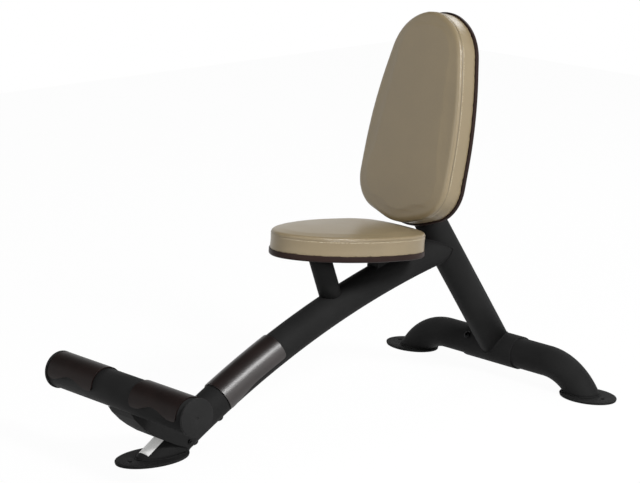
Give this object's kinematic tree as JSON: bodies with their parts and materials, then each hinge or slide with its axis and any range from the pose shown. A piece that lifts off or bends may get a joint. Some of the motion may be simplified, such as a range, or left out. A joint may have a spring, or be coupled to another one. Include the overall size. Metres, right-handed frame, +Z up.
{
  "type": "utility bench",
  "caption": "Fixed utility bench: padded teardrop seat and leaning egg-shaped back pad on a curved round-tube frame, with a cross foot bar in front and oval floor plates.",
  "frame": {"origin": "on the floor, under the middle of the bench's overall box", "axes": "+X to the seated user's left, +Y to the rear of the bench (behind the back pad), +Z up"},
  "size_m": [0.828, 1.3292, 0.983],
  "materials": {
    "powder_coat": "satin black powder coat on steel tube and plate",
    "guard_plastic": "glossy dark brown moulded plastic",
    "trim_plastic": "dark brown moulded plastic with a soft sheen",
    "vinyl": "tan upholstery vinyl with a fine grain",
    "plywood": "plain plywood, hidden inside the shells",
    "rubber": "black rubber foot pad",
    "zinc_steel": "bright zinc-plated steel",
    "black_steel": "black oxide steel"
  },
  "bodies": {
    "root": {"arm_bolt_lower": "black_steel", "arm_bolt_upper": "black_steel", "arm_cross_bolt": "black_steel", "arm_cross_nut": "black_steel", "back_board": "plywood", "back_bolt_1": "zinc_steel", "back_bolt_2": "zinc_steel", "back_bolt_3": "zinc_steel", "back_bolt_4": "zinc_steel", "back_pad": "vinyl", "back_plate": "powder_coat", "back_plate_gusset": "powder_coat", "back_shell": "trim_plastic", "foot_bar_arm": "powder_coat", "foot_bar_cap_left": "powder_coat", "foot_bar_cap_right": "powder_coat", "foot_bar_guard_left": "guard_plastic", "foot_bar_guard_right": "guard_plastic", "foot_bar_tube": "powder_coat", "front_foot_pad": "rubber", "front_foot_plate": "powder_coat", "main_tube": "powder_coat", "main_tube_guard": "guard_plastic", "rear_cross_tube": "powder_coat", "rear_foot_pad_left": "rubber", "rear_foot_pad_right": "rubber", "rear_foot_plate_left": "powder_coat", "rear_foot_plate_right": "powder_coat", "rear_upright": "powder_coat", "seat_board": "plywood", "seat_bolt_1": "zinc_steel", "seat_bolt_2": "zinc_steel", "seat_bolt_3": "zinc_steel", "seat_bolt_4": "zinc_steel", "seat_front_plate": "powder_coat", "seat_pad": "vinyl", "seat_post": "powder_coat", "seat_rear_bracket": "powder_coat", "seat_shell": "trim_plastic", "sleeve_bolt": "zinc_steel", "upright_sleeve": "powder_coat"}
  },
  "joints": []
}
